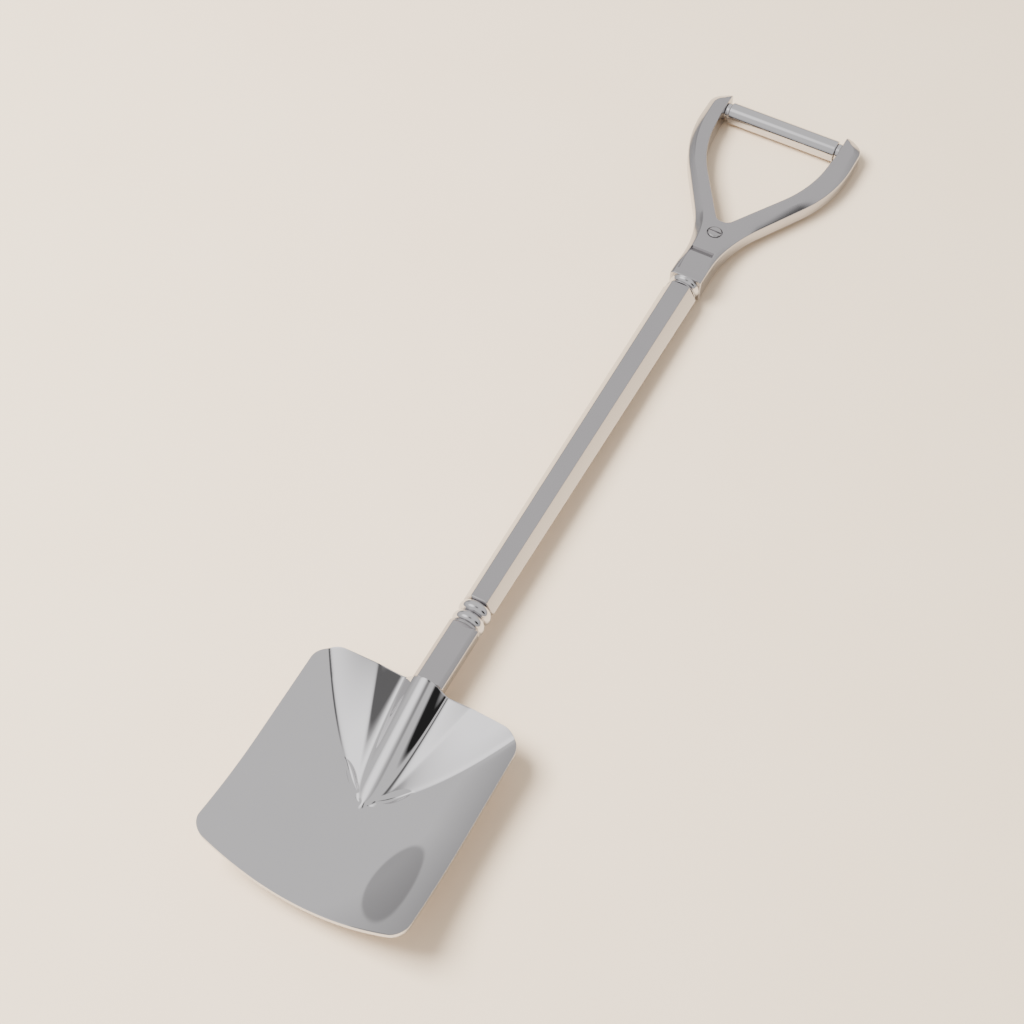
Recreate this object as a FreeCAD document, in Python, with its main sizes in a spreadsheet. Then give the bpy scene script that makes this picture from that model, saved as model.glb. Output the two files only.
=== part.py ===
import FreeCAD, Part
import math
import os
import Sketcher
from FreeCAD import Placement, Rotation, Vector

# Miniature one-hand shovel, lying on its back with the pan up.
# +X runs from the blade to the grip, +Y to the left, +Z up, all in millimetres.
# The origin is the centre of the overall box, on the surface the shovel lies on.
# The handle's pieces share one straight axis, which leans down a little towards the grip.
# Their bodies are drawn with that axis along their own X, from the neck's shoulder at X = 0.

doc = FreeCAD.newDocument("shovel")

# ---------------------------------------------------------------- sizes

SIZES = [
    # blade
    ("blade_length", 33.7),
    ("blade_width", 30.4),
    ("bottom_bow", 1.5),
    ("top_corner_radius", 3.3),
    ("bottom_corner_radius", 2.0),
    ("top_sweep", 1.0),
    ("sheet_thickness", 0.9),
    ("pan_depth", 5.6),
    ("tip_lift", 3.8),
    ("tip_flattening", 1.0),
    ("shoulder_reach", 16.9),
    ("crease_bow", 0.43),
    ("crease_blend", 0.5),
    ("shoulder_start", 0.92),
    ("shoulder_growth", 0.6),
    ("fold_start", 1.6),
    ("fold_spread", 0.325),
    ("fold_blend", 0.2),
    ("valley_slope", 0.22),
    ("frog_cover", 0.75),
    ("frog_crown_radius", 3.0),
    ("frog_tip_radius", 0.4),
    ("frog_nose_length", 1.2),
    ("frog_narrowing", 0.35),
    ("frog_blend", 0.5),
    # handle as a whole
    ("handle_tilt", 1.25),
    ("fit_clearance", 0.02),
    # neck
    ("neck_length", 10.2),
    ("neck_width", 4.4),
    ("neck_height", 3.4),
    ("neck_chamfer", 0.7),
    ("neck_flange_length", 0.45),
    ("neck_flange_radius", 2.3),
    ("tongue_length", 14.0),
    ("tongue_root_radius", 1.5),
    ("tongue_tip_radius", 0.3),
    ("tongue_gap", 0.05),
    ("spigot_radius", 1.2),
    ("spigot_insertion", 8.0),
    ("weld_length", 8.0),
    ("weld_radius", 1.05),
    ("weld_side_gap", 0.3),
    ("weld_taper", 0.75),
    # bead rings
    ("ring_length", 1.85),
    ("ring_radius", 2.4),
    ("ring_round", 0.88),
    # shaft
    ("shaft_length", 64.2),
    ("shaft_low_flats", 4.15),
    ("shaft_high_flats", 4.87),
    ("shaft_edge_break", 0.3),
    ("tenon_radius", 1.3),
    ("tenon_insertion", 11.7),
    # collar between shaft and yoke
    ("collar_length", 1.5),
    ("collar_radius", 2.6),
    ("collar_waist_radius", 2.15),
    ("collar_rim", 0.25),
    # yoke
    ("yoke_reach", 38.4),
    ("socket_width", 5.2),
    ("socket_height", 4.7),
    ("socket_length", 3.0),
    ("arm_thickness", 3.8),
    ("arm_taper_end", 14.0),
    ("arm_end_margin", 2.4),
    ("arm_width", 3.2),
    ("arm_flare", 0.8),
    ("low_bend", 10.4),
    ("low_bend_radius", 22.0),
    ("high_bend", 28.6),
    ("high_bend_radius", 24.0),
    ("inner_bend_setback", 1.6),
    ("inner_bend_radius", 22.0),
    ("crotch_apex", 12.2),
    ("crotch_radius", 1.6),
    ("grip_corner_radius", 2.6),
    ("grip_width", 26.8),
    ("panel_rim", 1.2),
    ("panel_length", 6.5),
    ("panel_side_rim", 0.7),
    ("panel_depth", 0.2),
    ("yoke_edge_break", 0.7),
    # rivet
    ("rivet_station", 10.8),
    ("rivet_shank_radius", 0.5),
    ("rivet_head_radius", 1.1),
    ("rivet_head_height", 0.45),
    ("rivet_dome_share", 0.6),
    ("rivet_recess_depth", 0.25),
    ("rivet_slot_width", 0.3),
    ("rivet_slot_depth", 0.2),
    # crossbar
    ("bar_radius", 1.75),
    ("bar_spigot_radius", 1.0),
    ("bar_spigot_length", 1.8),
    ("bar_collar_length", 0.8),
    ("bar_collar_radius", 1.45),
]

STATIONS = [
    # along the handle's axis, from the neck's shoulder
    ("ring_joint", "=Sizes.neck_length + Sizes.ring_length"),
    ("shaft_start", "=Sizes.neck_length + 2 * Sizes.ring_length"),
    ("shaft_end", "=shaft_start + Sizes.shaft_length"),
    ("yoke_start", "=shaft_end + Sizes.collar_length"),
    ("bar_station", "=yoke_start + Sizes.yoke_reach"),
    ("handle_end", "=bar_station + Sizes.arm_end_margin"),
    ("rivet_place", "=yoke_start + Sizes.rivet_station"),
    ("tenon_end", "=yoke_start + Sizes.tenon_insertion"),
    ("arm_inner", "=Sizes.grip_width / 2 - Sizes.arm_width"),
    ("rivet_seat", "=Sizes.arm_thickness / 2 + (Sizes.socket_height - Sizes.arm_thickness) / 2"
     " * (Sizes.arm_taper_end - Sizes.rivet_station) / (Sizes.arm_taper_end - Sizes.socket_length)"
     " - Sizes.rivet_recess_depth"),
    # in the object's own frame
    ("axis_height", "=handle_end * sin(Sizes.handle_tilt)"
     " + Sizes.arm_thickness / 2 * cos(Sizes.handle_tilt)"),
    ("top_edge", "=(Sizes.blade_length - handle_end * cos(Sizes.handle_tilt)) / 2"),
    ("tip_edge", "=top_edge - Sizes.blade_length"),
    ("frog_top", "=axis_height + Sizes.neck_height / 2 + Sizes.frog_cover"),
]


def fill_sheet(label, rows):
    """A spreadsheet with one aliased cell for each row."""
    sheet = doc.addObject("Spreadsheet::Sheet", label)
    for number, (alias, content) in enumerate(rows, 1):
        sheet.set("A%d" % number, alias)
        sheet.set("B%d" % number, str(content))
        sheet.setAlias("B%d" % number, alias)
    doc.recompute()
    return sheet


sizes = fill_sheet("Sizes", SIZES)
stations = fill_sheet("Stations", STATIONS)


def size(alias):
    """A driving dimension as a number."""
    return float(sizes.get(alias))


def station(alias):
    """A derived place as a number."""
    return float(stations.get(alias))


# ---------------------------------------------------------------- helpers

ORIGIN_POINT = (-1, 1)


def new_body(label, along="0 mm"):
    """A body in the handle's frame, moved along the handle's axis by the given expression."""
    body = doc.addObject("PartDesign::Body", label)
    body.Label = label
    body.Placement = Placement(Vector(0, 0, 0), Rotation(Vector(0, 1, 0), 1))
    body.setExpression("Placement.Base.x",
                       "Stations.top_edge * 1 mm + (%s) * cos(Sizes.handle_tilt)" % along)
    body.setExpression("Placement.Base.z",
                       "Stations.axis_height * 1 mm - (%s) * sin(Sizes.handle_tilt)" % along)
    body.setExpression("Placement.Rotation.Angle", "Sizes.handle_tilt * 1 deg")
    return body


def new_sketch(body, name, plane, offset=None):
    """An empty sketch on one of the body's origin planes, lifted off it by an expression."""
    sketch = body.newObject("Sketcher::SketchObject", name)
    planes = [item for item in body.Origin.OriginFeatures if item.Role == plane]
    sketch.AttachmentSupport = [(planes[0], "")]
    sketch.MapMode = "FlatFace"
    if offset:
        sketch.setExpression("AttachmentOffset.Base.z", offset)
    return sketch


def pin_point(sketch, name, edge, end, across, up):
    """Ties one end of a sketch edge to two expressions, measured from the sketch's origin."""
    point = sketch.getPoint(edge, end)
    for kind, text, present in (("DistanceX", across, point.x), ("DistanceY", up, point.y)):
        index = sketch.addConstraint(Sketcher.Constraint(kind, *ORIGIN_POINT, edge, end, present))
        sketch.renameConstraint(index, name + kind[-1].lower())
        sketch.setExpression("Constraints." + name + kind[-1].lower(), text)


def polygon(body, name, plane, corners, offset=None):
    """A closed straight-sided sketch whose corners are pairs of expressions."""
    sketch = new_sketch(body, name, plane, offset)
    count = len(corners)
    turns = [2 * math.pi * k / count for k in range(count)]
    rough = [Vector(math.cos(turn), math.sin(turn), 0) for turn in turns]
    for k in range(count):
        sketch.addGeometry(Part.LineSegment(rough[k], rough[(k + 1) % count]), False)
    for k in range(count):
        sketch.addConstraint(Sketcher.Constraint("Coincident", k, 2, (k + 1) % count, 1))
    for k, (across, up) in enumerate(corners):
        pin_point(sketch, "corner%d" % k, k, 1, across, up)
    return sketch


def circle(body, name, plane, radius, across="0 mm", up="0 mm", offset=None):
    """A sketch of one circle, its radius and centre tied to expressions."""
    sketch = new_sketch(body, name, plane, offset)
    sketch.addGeometry(Part.Circle(Vector(0, 0, 0), Vector(0, 0, 1), 1.0), False)
    index = sketch.addConstraint(Sketcher.Constraint("Radius", 0, 1.0))
    sketch.renameConstraint(index, "radius")
    sketch.setExpression("Constraints.radius", radius)
    pin_point(sketch, "centre", 0, 3, across, up)
    return sketch


def box_corners(low_x, high_x, low_y, high_y):
    """The corners of an upright rectangle, for polygon()."""
    return [(low_x, low_y), (high_x, low_y), (high_x, high_y), (low_x, high_y)]


def hexagon_corners(flats):
    """A regular hexagon, flat on top, by its distance across flats, with its corners broken."""
    radius = "%s / sqrt(3)" % flats
    places = []
    for corner in range(0, 360, 60):
        for turn in (-120, 120):
            places.append(tuple("%s * %s(%d) + Sizes.shaft_edge_break * %s(%d)" % (
                radius, ratio, corner, ratio, corner + turn) for ratio in ("cos", "sin")))
    return places


def feature(body, kind, name, **settings):
    """A PartDesign feature; settings whose value is text are expressions."""
    made = body.newObject("PartDesign::" + kind, name)
    for key, content in settings.items():
        if isinstance(content, str) and key not in ("Type", "SideType", "ChamferType"):
            made.setExpression(key, content)
        else:
            setattr(made, key, content)
    doc.recompute()
    return made


def revolve(body, kind, name, sketch, axis="H_Axis"):
    """A full turn of a sketch about one of its own axes."""
    return feature(body, kind, name, Profile=sketch, ReferenceAxis=(sketch, [axis]), Angle=360.0)


def pocket(body, name, sketch, length=None, **settings):
    """A cut to both sides of the sketch, through everything unless a length is given."""
    before = body.Tip.Shape.Volume
    if length:
        made = feature(body, "Pocket", name, Profile=sketch, Type=0, SideType=2, Length=length, **settings)
    else:
        made = feature(body, "Pocket", name, Profile=sketch, Type=1, SideType=2, **settings)
    if made.Shape.Volume >= before - 1e-6:
        raise RuntimeError(name + " cut nothing")
    return made


def edge_names(shape, wanted):
    """Names of the edges of a shape whose geometry passes the test."""
    return ["Edge%d" % number for number, edge in enumerate(shape.Edges, 1) if wanted(edge)]


def dress(body, kind, name, wanted, size_text, **settings):
    """A fillet or chamfer on the tip's edges that pass the test."""
    names = edge_names(body.Tip.Shape, wanted)
    if not names:
        raise RuntimeError(name + " found no edges")
    key = "Radius" if kind == "Fillet" else "Size"
    settings[key] = size_text
    return feature(body, kind, name, Base=(body.Tip, names), **settings)


# ---------------------------------------------------------------- neck

def make_neck():
    """Flat-topped bar with a round flange and a spigot that carries the rings and enters the shaft."""
    bar = new_body("neck_bar")
    side = "Sizes.neck_width / 2"
    top = "Sizes.neck_height / 2"
    cut_side = "(Sizes.neck_width / 2 - Sizes.neck_chamfer)"
    cut_top = "(Sizes.neck_height / 2 - Sizes.neck_chamfer)"
    section = polygon(bar, "neck_section", "YZ_Plane", [
        (side, "-" + cut_top),
        (side, cut_top),
        (cut_side, top),
        ("-" + cut_side, top),
        ("-" + side, cut_top),
        ("-" + side, "-" + cut_top),
        ("-" + cut_side, "-" + top),
        (cut_side, "-" + top),
    ])
    feature(bar, "Pad", "neck_pad", Profile=section, Length="Sizes.neck_length - Sizes.neck_flange_length")
    stem = polygon(bar, "neck_stem", "XY_Plane", [
        ("Sizes.neck_length - Sizes.neck_flange_length - Sizes.neck_flange_length", "0"),
        ("Stations.shaft_start + Sizes.spigot_insertion", "0"),
        ("Stations.shaft_start + Sizes.spigot_insertion", "Sizes.spigot_radius"),
        ("Sizes.neck_length", "Sizes.spigot_radius"),
        ("Sizes.neck_length", "Sizes.neck_flange_radius"),
        ("Sizes.neck_length - Sizes.neck_flange_length", "Sizes.neck_flange_radius"),
        ("Sizes.neck_length - Sizes.neck_flange_length - Sizes.neck_flange_length", "Sizes.spigot_radius"),
    ])
    revolve(bar, "Revolution", "neck_turning", stem)
    return bar


# ---------------------------------------------------------------- bead rings and collar

def make_ring(label, start, end):
    """Turned bead with rounded rims, bored to slide over the neck's spigot."""
    ring = new_body(label)
    bore = "Sizes.spigot_radius + Sizes.fit_clearance"
    corners = box_corners(start, end, bore, "Sizes.ring_radius")
    profile = polygon(ring, label + "_profile", "XY_Plane", corners)
    revolve(ring, "Revolution", label + "_turning", profile)
    radius = size("ring_radius")
    dress(ring, "Fillet", label + "_rims", lambda e: abs(e.BoundBox.ZMax - radius) < 1e-3
          and e.BoundBox.XLength < 1e-3, "Sizes.ring_round")
    return ring


def make_shaft_collar():
    """Grooved ring between the shaft and the yoke, over the shaft's tenon."""
    collar = new_body("shaft_collar")
    bore = "Sizes.tenon_radius + Sizes.fit_clearance"
    profile = polygon(collar, "collar_profile", "XY_Plane", [
        ("Stations.shaft_end", bore),
        ("Stations.yoke_start", bore),
        ("Stations.yoke_start", "Sizes.collar_radius"),
        ("Stations.yoke_start - Sizes.collar_rim", "Sizes.collar_radius"),
        ("Stations.yoke_start - Sizes.collar_length / 2", "Sizes.collar_waist_radius"),
        ("Stations.shaft_end + Sizes.collar_rim", "Sizes.collar_radius"),
        ("Stations.shaft_end", "Sizes.collar_radius"),
    ])
    revolve(collar, "Revolution", "collar_turning", profile)
    return collar


# ---------------------------------------------------------------- shaft

def make_shaft():
    """Tapered hexagonal bar, bored for the neck's spigot, with a round tenon for the yoke."""
    shaft = new_body("shaft")
    low = polygon(shaft, "shaft_low_section", "YZ_Plane", hexagon_corners("Sizes.shaft_low_flats"),
                  "Stations.shaft_start")
    high = polygon(shaft, "shaft_high_section", "YZ_Plane", hexagon_corners("Sizes.shaft_high_flats"),
                   "Stations.shaft_end")
    feature(shaft, "AdditiveLoft", "shaft_bar", Profile=low, Sections=[high], Ruled=True)
    tenon = polygon(shaft, "tenon_profile", "XY_Plane", box_corners(
        "Stations.shaft_end - Sizes.collar_length", "Stations.tenon_end", "0", "Sizes.tenon_radius"))
    revolve(shaft, "Revolution", "shaft_tenon", tenon)
    bore = polygon(shaft, "spigot_bore_profile", "XY_Plane", box_corners(
        "Stations.shaft_start", "Stations.shaft_start + Sizes.spigot_insertion + Sizes.fit_clearance",
        "0", "Sizes.spigot_radius + Sizes.fit_clearance"))
    revolve(shaft, "Groove", "spigot_bore", bore)
    hole = circle(shaft, "tenon_hole", "XY_Plane", "Sizes.rivet_shank_radius + Sizes.fit_clearance",
                  "Stations.rivet_place")
    pocket(shaft, "tenon_cross_hole", hole, "4 * Sizes.tenon_radius")
    return shaft


# ---------------------------------------------------------------- yoke

def yoke_outline():
    """Corners of the forked plan, one half mirrored to the other."""
    start = "Stations.yoke_start"
    root = "Sizes.socket_width / 2"
    outer = "Sizes.grip_width / 2"
    inner = "Stations.arm_inner"
    half = [
        (start, root),
        (start + " + Sizes.low_bend", root),
        (start + " + Sizes.high_bend", outer),
        ("Stations.handle_end", outer),
        ("Stations.handle_end", inner),
        ("Stations.bar_station - Sizes.arm_end_margin", inner),
        (start + " + Sizes.high_bend - Sizes.inner_bend_setback", "(%s - Sizes.arm_flare)" % inner),
    ]
    crotch = [(start + " + Sizes.crotch_apex", "0")]
    mirrored = [(along, "-1 * (%s)" % side) for along, side in reversed(half)]
    return half + crotch + mirrored


def upright_edges(along, side):
    """Test for the plan's upright edges at one corner, on both sides."""
    def test(edge):
        box = edge.BoundBox
        upright = box.XLength < 1e-3 and box.YLength < 1e-3
        return upright and abs(box.XMin - along) < 1e-3 and abs(abs(box.YMin) - side) < 1e-3
    return test


def make_yoke():
    """Forked frame of the grip with a socket for the tenon and bored arm ends."""
    yoke = new_body("yoke")
    plan = polygon(yoke, "yoke_plan", "XY_Plane", yoke_outline())
    feature(yoke, "Pad", "yoke_blank", Profile=plan, Length="Sizes.socket_height", Midplane=True)
    start = station("yoke_start")
    bends = [
        ("crotch_fillet", start + size("crotch_apex"), 0, "Sizes.crotch_radius"),
        ("low_bends", start + size("low_bend"), size("socket_width") / 2, "Sizes.low_bend_radius"),
        ("high_bends", start + size("high_bend"), size("grip_width") / 2, "Sizes.high_bend_radius"),
        ("inner_bends", start + size("high_bend") - size("inner_bend_setback"),
         station("arm_inner") - size("arm_flare"), "Sizes.inner_bend_radius"),
        ("grip_corners", station("handle_end"), size("grip_width") / 2, "Sizes.grip_corner_radius"),
    ]
    for name, along, side, radius in bends:
        dress(yoke, "Fillet", name, upright_edges(along, side), radius)
    taper = "Stations.yoke_start + Sizes.socket_length"
    thin = "Stations.yoke_start + Sizes.arm_taper_end"
    beyond = "Stations.handle_end + Sizes.arm_width"
    for name, sign in (("top_taper", "1"), ("back_taper", "-1")):
        wedge = polygon(yoke, name + "_profile", "XZ_Plane", [
            (taper, sign + " * Sizes.socket_height / 2"),
            (thin, sign + " * Sizes.arm_thickness / 2"),
            (beyond, sign + " * Sizes.arm_thickness / 2"),
            (beyond, sign + " * Sizes.socket_height"),
            (taper, sign + " * Sizes.socket_height"),
        ])
        pocket(yoke, name, wedge)
    shoulder = start + size("socket_length")
    dress(yoke, "Chamfer", "outer_edge_break", lambda e: abs(e.BoundBox.XMin - shoulder) < 1e-3
          and e.BoundBox.YLength < 1e-3 and e.BoundBox.XLength > 1e-3, "Sizes.yoke_edge_break")
    panel_side = "(Sizes.socket_width / 2 - Sizes.panel_side_rim)"
    recess = polygon(yoke, "panel_outline", "XY_Plane", box_corners(
        "Stations.yoke_start + Sizes.panel_rim", "Stations.yoke_start + Sizes.panel_length",
        "-1 * " + panel_side, panel_side), "Sizes.socket_height / 2 - Sizes.panel_depth")
    feature(yoke, "Pocket", "panel_recess", Profile=recess, Length="Sizes.socket_height", Reversed=True)
    head = circle(yoke, "rivet_recess_circle", "XY_Plane", "Sizes.rivet_head_radius + Sizes.fit_clearance",
                  "Stations.rivet_place", offset="Stations.rivet_seat")
    feature(yoke, "Pocket", "rivet_recess", Profile=head, Length="Sizes.socket_height", Reversed=True)
    socket = polygon(yoke, "socket_profile", "XY_Plane", box_corners(
        "Stations.yoke_start", "Stations.tenon_end + Sizes.fit_clearance",
        "0", "Sizes.tenon_radius + Sizes.fit_clearance"))
    revolve(yoke, "Groove", "tenon_socket", socket)
    hole = circle(yoke, "rivet_hole_circle", "XY_Plane", "Sizes.rivet_shank_radius + Sizes.fit_clearance",
                  "Stations.rivet_place")
    pocket(yoke, "rivet_hole", hole)
    ends = circle(yoke, "bar_bore_circle", "XZ_Plane", "Sizes.bar_spigot_radius + Sizes.fit_clearance",
                  "Stations.bar_station")
    pocket(yoke, "bar_bores", ends,
           "2 * (Stations.arm_inner + Sizes.bar_spigot_length + Sizes.fit_clearance)")
    return yoke


# ---------------------------------------------------------------- rivet and crossbar

def make_rivet():
    """Slotted head in a shallow recess, with a shank through the yoke and the tenon."""
    rivet = new_body("yoke_rivet", "Stations.rivet_place * 1 mm")
    seat = station("rivet_seat")
    profile = polygon(rivet, "rivet_profile", "XZ_Plane", [
        ("0", "-1 * Stations.rivet_seat"),
        ("Sizes.rivet_shank_radius", "-1 * Stations.rivet_seat"),
        ("Sizes.rivet_shank_radius", "Stations.rivet_seat"),
        ("Sizes.rivet_head_radius", "Stations.rivet_seat"),
        ("Sizes.rivet_head_radius", "Stations.rivet_seat + Sizes.rivet_head_height"),
        ("0", "Stations.rivet_seat + Sizes.rivet_head_height"),
    ])
    revolve(rivet, "Revolution", "rivet_turning", profile, "V_Axis")
    rim = seat + size("rivet_head_height")
    dress(rivet, "Fillet", "rivet_dome", lambda e: e.BoundBox.ZLength < 1e-3
          and abs(e.BoundBox.ZMax - rim) < 1e-3, "Sizes.rivet_head_height * Sizes.rivet_dome_share")
    slot = polygon(rivet, "rivet_slot_profile", "XZ_Plane", box_corners(
        "-1 * Sizes.rivet_slot_width / 2", "Sizes.rivet_slot_width / 2",
        "Stations.rivet_seat + Sizes.rivet_head_height - Sizes.rivet_slot_depth",
        "Stations.rivet_seat + 2 * Sizes.rivet_head_height"))
    pocket(rivet, "rivet_slot", slot, "4 * Sizes.rivet_head_radius")
    return rivet


def make_grip_bar():
    """Round crossbar with a spigot at each end for the arms' bores."""
    bar = new_body("grip_bar", "Stations.bar_station * 1 mm")
    shoulder = "(Stations.arm_inner - Sizes.bar_collar_length)"
    end = "(Stations.arm_inner + Sizes.bar_spigot_length)"
    profile = polygon(bar, "bar_profile", "XY_Plane", [
        ("0", "-1 * " + end),
        ("Sizes.bar_spigot_radius", "-1 * " + end),
        ("Sizes.bar_spigot_radius", "-1 * " + shoulder),
        ("Sizes.bar_radius", "-1 * " + shoulder),
        ("Sizes.bar_radius", shoulder),
        ("Sizes.bar_spigot_radius", shoulder),
        ("Sizes.bar_spigot_radius", end),
        ("0", end),
    ])
    revolve(bar, "Revolution", "bar_turning", profile, "V_Axis")
    return bar


def make_bar_collar(label, sign):
    """Small ring between the crossbar's shoulder and one arm."""
    collar = new_body(label, "Stations.bar_station * 1 mm")
    profile = polygon(collar, label + "_profile", "XY_Plane", box_corners(
        "Sizes.bar_spigot_radius + Sizes.fit_clearance", "Sizes.bar_collar_radius",
        sign + " * (Stations.arm_inner - Sizes.bar_collar_length)", sign + " * Stations.arm_inner"))
    revolve(collar, "Revolution", label + "_turning", profile, "V_Axis")
    return collar


# ---------------------------------------------------------------- blade

SURFACE_ROWS = 90
SURFACE_COLUMNS = 91
TRIM_MARGIN = 1.0
FOOT_SHARE = 1.1
TIP_ROUNDING = 0.25
FOLD_ROUNDING = 0.1


def soft_positive(amount, blend):
    """max(amount, 0) with its corner rounded over the blend length."""
    return (amount + math.sqrt(amount * amount + blend * blend)) / 2


def from_frog_tip(x):
    """Distance up the blade from the frog's tip."""
    return x - station("top_edge") + size("shoulder_reach")


def pan_height(x, y):
    """Top of the dished pan: a trough across, lifted towards the tip."""
    pan_run = size("blade_length") - size("shoulder_reach")
    share = (max(0.0, -from_frog_tip(x)) / pan_run) ** 2
    depth = size("pan_depth") - size("tip_flattening") * share
    trough = depth * (2 * y / size("blade_width")) ** 2
    return size("sheet_thickness") + size("tip_lift") * share + trough


def crease_place(y):
    """Where the pan turns up into the shoulders: from the frog's tip out to the top corners."""
    half = size("blade_width") / 2
    share = math.sqrt(y * y + TIP_ROUNDING * size("crease_blend")) / half
    spread = (1 - size("crease_bow")) * share + size("crease_bow") * share * share
    return station("top_edge") - size("shoulder_reach") * (1 - spread)


def shoulder_slope(y):
    """Rise of the shoulders per length, steeper towards the sides."""
    share = 2 * y / size("blade_width")
    growth = size("shoulder_start") + size("shoulder_growth") * share * share
    return size("pan_depth") / size("shoulder_reach") * growth


def valley_drop(x, y):
    """How far each shoulder folds down towards the frog."""
    fold = size("fold_start") + size("fold_spread") * from_frog_tip(x)
    return size("valley_slope") * soft_positive(fold - math.hypot(y, FOLD_ROUNDING), size("fold_blend"))


def frog_foot():
    """Height of the frog's ridge at its tip."""
    return FOOT_SHARE * size("sheet_thickness")


def frog_rise():
    """Rise of the frog's ridge per length."""
    return (station("frog_top") - frog_foot()) / size("shoulder_reach")


def frog_ridge(x):
    """Height of the frog's crown along the blade."""
    return frog_foot() + frog_rise() * from_frog_tip(x)


def frog_crown(x):
    """Radius of the frog's crown: small at its tip, full behind the nose, narrower at the top edge."""
    run = max(0.0, from_frog_tip(x))
    filled = run / (run + size("frog_nose_length"))
    narrowed = 1 - size("frog_narrowing") * run / size("shoulder_reach")
    return size("frog_tip_radius") + size("frog_crown_radius") * filled * narrowed


def blade_height(x, y):
    """Top of the pressed sheet."""
    rise = shoulder_slope(y) * soft_positive(x - crease_place(y), size("crease_blend"))
    shoulder = pan_height(x, y) + rise - valley_drop(x, y)
    frog = frog_ridge(x) - y * y / (2 * frog_crown(x))
    return shoulder + soft_positive(frog - shoulder, size("frog_blend"))


def make_pressed_sheet():
    """The pressed form, wider than the blade, as a solid of even upright thickness."""
    low_x = station("tip_edge") - TRIM_MARGIN
    high_x = station("top_edge") + TRIM_MARGIN
    side = size("blade_width") / 2 + TRIM_MARGIN
    grid = []
    for row in range(SURFACE_ROWS + 1):
        x = low_x + (high_x - low_x) * row / SURFACE_ROWS
        grid.append([])
        for column in range(SURFACE_COLUMNS + 1):
            y = -side + 2 * side * column / SURFACE_COLUMNS
            grid[-1].append(Vector(x, y, blade_height(x, y)))
    surface = Part.BSplineSurface()
    surface.approximate(Points=grid, DegMin=3, DegMax=5, Tolerance=0.01, Continuity=2)
    sheet = doc.addObject("Part::Feature", "pressed_sheet")
    sheet.Shape = surface.toShape().extrude(Vector(0, 0, -size("sheet_thickness")))
    return sheet


def make_blade_plan():
    """Square-point plan: swept top edge, rounded corners and a bowed bottom edge, as an upright prism."""
    half = size("blade_width") / 2
    bow = size("bottom_bow")
    top = station("top_edge")
    bottom = station("tip_edge")
    peak = Vector(top, 0, 0)
    top_left = Vector(top - size("top_sweep"), half, 0)
    low_left = Vector(bottom + bow, half, 0)
    low_right = Vector(bottom + bow, -half, 0)
    top_right = Vector(top - size("top_sweep"), -half, 0)
    plan = doc.addObject("PartDesign::Body", "blade_plan")
    sketch = new_sketch(plan, "blade_outline", "XY_Plane")
    for first, second in ((top_left, low_left), (low_right, top_right), (top_right, peak), (peak, top_left)):
        sketch.addGeometry(Part.LineSegment(first, second), False)
    sketch.addGeometry(Part.Arc(low_left, Vector(bottom, 0, 0), low_right), False)
    first = 1 if sketch.Geometry[4].StartPoint.distanceToPoint(low_left) < 1e-6 else 2
    for joint in ((0, 2, 4, first), (4, 3 - first, 1, 1), (1, 2, 2, 1), (2, 2, 3, 1), (3, 2, 0, 1)):
        sketch.addConstraint(Sketcher.Constraint("Coincident", *joint))
    side = "Sizes.blade_width / 2"
    high = "Stations.top_edge - Sizes.top_sweep"
    low = "Stations.tip_edge + Sizes.bottom_bow"
    pin_point(sketch, "top_left", 0, 1, high, side)
    pin_point(sketch, "low_left", 0, 2, low, side)
    pin_point(sketch, "low_right", 1, 1, low, "-1 * " + side)
    pin_point(sketch, "top_right", 1, 2, high, "-1 * " + side)
    pin_point(sketch, "peak", 2, 2, "Stations.top_edge", "0")
    index = sketch.addConstraint(Sketcher.Constraint("Radius", 4, (half * half + bow * bow) / (2 * bow)))
    sketch.renameConstraint(index, "bow_radius")
    sketch.setExpression("Constraints.bow_radius",
                         "((Sizes.blade_width / 2) ^ 2 + Sizes.bottom_bow ^ 2) / (2 * Sizes.bottom_bow)")
    feature(plan, "Pad", "blade_prism", Profile=sketch, Length="4 * Stations.frog_top", Midplane=True)
    dress(plan, "Fillet", "top_corners", upright_edges(top_left.x, half), "Sizes.top_corner_radius")
    dress(plan, "Fillet", "bottom_corners", upright_edges(low_left.x, half), "Sizes.bottom_corner_radius")
    return plan


def make_blade():
    """The pressed sheet trimmed to the blade's plan."""
    blade = doc.addObject("Part::Common", "blade")
    blade.Base = make_pressed_sheet()
    blade.Tool = make_blade_plan()
    return blade


# ---------------------------------------------------------------- tongue and welds

def tongue_centre(along, radius):
    """Centre of the tongue under the frog, this far from the blade's top edge."""
    x = station("top_edge") - along
    below = size("sheet_thickness") + size("tongue_gap") + radius * math.hypot(1, frog_rise())
    return Vector(x, 0, frog_ridge(x) - below)


def cone_between(label, start, end, start_radius, end_radius):
    """A Part::Cone from one point to another; its radii are expressions."""
    cone = doc.addObject("Part::Cone", label)
    cone.setExpression("Radius1", start_radius)
    cone.setExpression("Radius2", end_radius)
    cone.Height = (end - start).Length
    cone.Placement = Placement(start, Rotation(Vector(0, 0, 1), end - start))
    return cone


def make_neck_and_tongue():
    """The neck's bar with the round tongue that runs down under the frog."""
    root = tongue_centre(-size("neck_flange_length"), size("tongue_root_radius"))
    tip = tongue_centre(size("tongue_length"), size("tongue_tip_radius"))
    neck = doc.addObject("Part::Fuse", "neck")
    neck.Base = make_neck()
    neck.Tool = cone_between("tongue", root, tip, "Sizes.tongue_root_radius", "Sizes.tongue_tip_radius")
    return neck


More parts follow.
